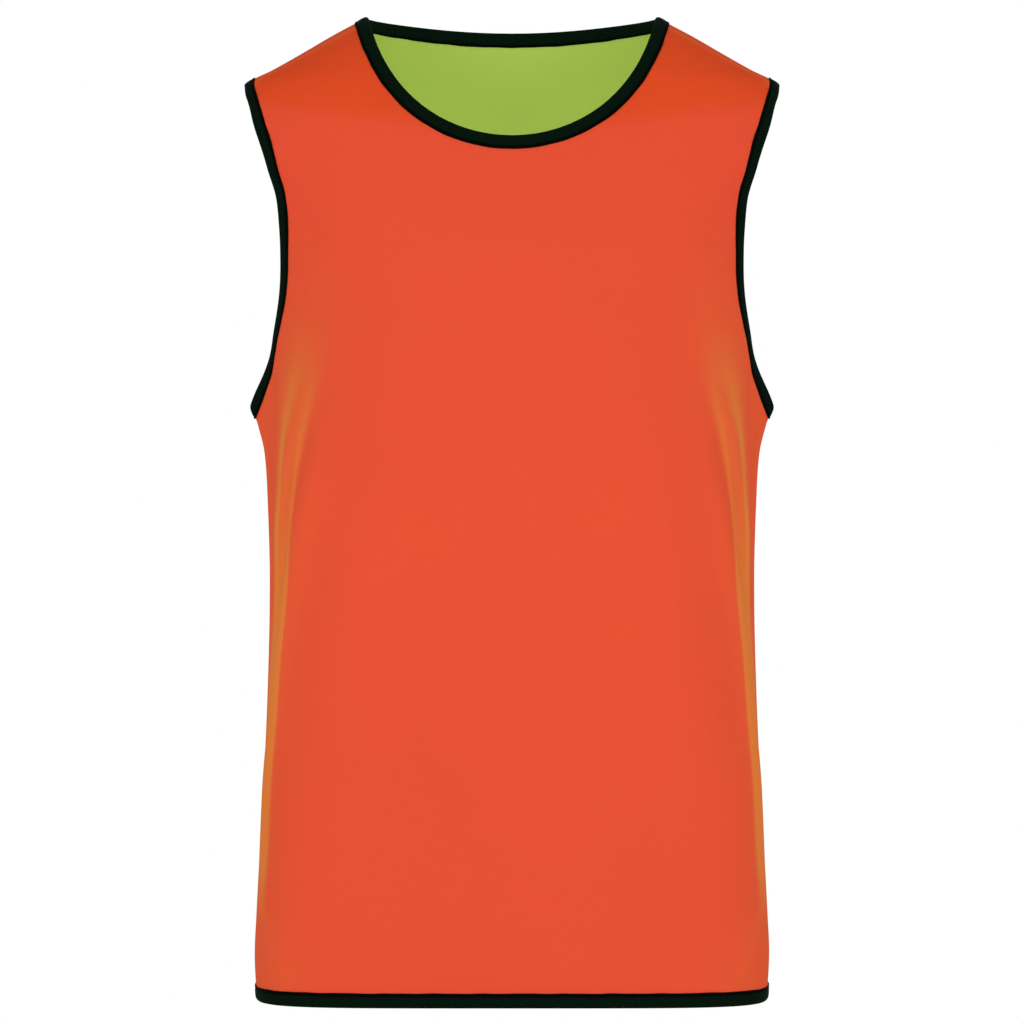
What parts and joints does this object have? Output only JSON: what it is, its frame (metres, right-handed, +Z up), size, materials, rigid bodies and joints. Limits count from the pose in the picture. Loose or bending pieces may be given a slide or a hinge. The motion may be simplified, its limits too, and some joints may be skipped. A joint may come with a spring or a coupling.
{
  "type": "reversible sports bib",
  "caption": "Sleeveless reversible sports bib in worn form: orange outside, lime inside, black bound neck, armholes and hem.",
  "frame": {"origin": "midway between the two shoulder seams, at half their height, where the wearer's shoulders hold the bib", "axes": "+Z up, the front faces -Y, the wearer's left is +X"},
  "size_m": [0.402, 0.2363, 0.7309],
  "materials": {
    "orange_knit": "soft matt knit",
    "lime_knit": "soft matt knit",
    "black_binding": "matt bias tape"
  },
  "bodies": {
    "root": {"front_outer": "orange_knit", "back_outer": "orange_knit", "front_inner": "lime_knit", "back_inner": "lime_knit", "neck_binding": "black_binding", "armhole_binding_left": "black_binding", "armhole_binding_right": "black_binding", "hem_binding": "black_binding"}
  },
  "joints": []
}
